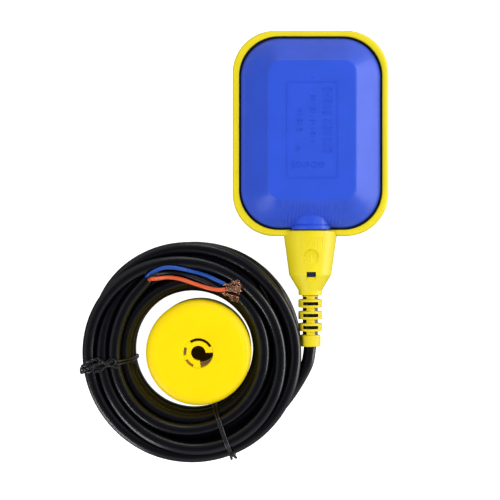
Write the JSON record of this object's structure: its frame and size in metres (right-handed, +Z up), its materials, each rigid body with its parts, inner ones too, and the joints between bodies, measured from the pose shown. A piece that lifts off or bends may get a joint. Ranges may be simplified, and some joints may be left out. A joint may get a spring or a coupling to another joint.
{
  "type": "cable float switch",
  "caption": "Blue float in a yellow bumper frame with a ball-operated changeover switch inside, a coiled three-core cable with bare ends and a loose yellow counterweight.",
  "frame": {"origin": "centre of the float's flat underside, which lies on the surface", "axes": "+Y from the cable entry to the float's far end, +X to the right seen from above, +Z up through the float's thickness"},
  "size_m": [0.1594, 0.2242, 0.042],
  "materials": {
    "shell_blue": "satin moulded",
    "frame_yellow": "satin moulded",
    "seal_black": "matt",
    "boot_yellow": "satin moulded",
    "cable_black": "glossy jacket",
    "core_blue": "satin insulation",
    "core_brown": "satin insulation",
    "core_black": "satin insulation",
    "copper": "bright stranded copper",
    "tie_dark": "plastic coated wire",
    "weight_yellow": "satin moulded",
    "iron": "rough cast",
    "capsule_white": "moulded",
    "inner_grey": "moulded",
    "switch_dark": "moulded",
    "button_red": "moulded",
    "steel": "polished",
    "brass": "stamped"
  },
  "bodies": {
    "cable": {"supply_cable_lead": "cable_black", "supply_cable_coil": "cable_black", "twist_tie_left": "tie_dark", "twist_tie_bottom": "tie_dark", "core_blue": "core_blue", "core_brown": "core_brown", "core_black": "core_black", "copper_end_blue": "copper", "copper_end_brown": "copper", "copper_end_black": "copper", "strain_relief_boot": "boot_yellow", "cable_in_boot": "cable_black"},
    "float": {"upper_shell": "shell_blue", "lower_shell": "shell_blue", "bumper_frame": "frame_yellow", "rim_gasket": "seal_black", "gland_body": "shell_blue", "gland_seal": "seal_black", "gland_washer": "inner_grey", "gland_clamp_ring": "inner_grey", "cable_inner_run": "cable_black", "chamber_base": "capsule_white", "chamber_lid": "capsule_white", "ball_race": "inner_grey", "race_end_buffer": "seal_black", "rocker_pin": "steel", "microswitch_case": "switch_dark", "microswitch_cover": "switch_dark", "terminal_common": "brass", "terminal_normally_open": "brass", "terminal_normally_closed": "brass", "switch_screw_1": "steel", "switch_screw_2": "steel", "inner_core_black": "core_black", "inner_core_blue": "core_blue", "inner_core_brown": "core_brown"},
    "ball": {"steel_ball": "steel"},
    "lever": {"rocker_lever": "capsule_white"},
    "button": {"microswitch_plunger": "button_red"},
    "blade": {"contact_blade": "brass"},
    "counterweight": {"weight_upper_shell": "weight_yellow", "weight_lower_shell": "weight_yellow", "weight_iron_core": "iron"},
    "lock_ring": {"cable_lock_ring": "weight_yellow"}
  },
  "joints": [
    {"name": "float_tilt", "type": "hinge", "parent": "cable", "child": "float", "pos_m": [0, -0.0975, 0.021], "axis": [1, 0, 0], "range_deg": [0, 60], "deforming": ["strain_relief_boot", "cable_in_boot"]},
    {"name": "ball_roll", "type": "slide", "parent": "float", "child": "ball", "axis": [0, -1, 0], "range_m": [0, 0.02]},
    {"name": "lever_rock", "type": "hinge", "parent": "float", "child": "lever", "pos_m": [0, -0.006, 0.033], "axis": [-1, 0, 0], "range_deg": [0, 9]},
    {"name": "button_press", "type": "slide", "parent": "float", "child": "button", "axis": [0, -1, 0], "range_m": [0, 0.001]},
    {"name": "blade_swing", "type": "hinge", "parent": "float", "child": "blade", "pos_m": [0, -0.0168, 0.0184], "axis": [1, 0, 0], "range_deg": [0, 6]},
    {"name": "weight_lift", "type": "slide", "parent": "cable", "child": "counterweight", "axis": [0, 0, 1], "range_m": [0, 0.08]},
    {"name": "lock_ring_release", "type": "slide", "parent": "counterweight", "child": "lock_ring", "axis": [0, 0, 1], "range_m": [0, 0.02]}
  ],
  "couplings": [
    {"joint": "lever_rock", "follows": "ball_roll", "rad_per_m": 7.854},
    {"joint": "button_press", "follows": "ball_roll", "ratio": 0.05},
    {"joint": "blade_swing", "follows": "ball_roll", "rad_per_m": 5.236}
  ]
}
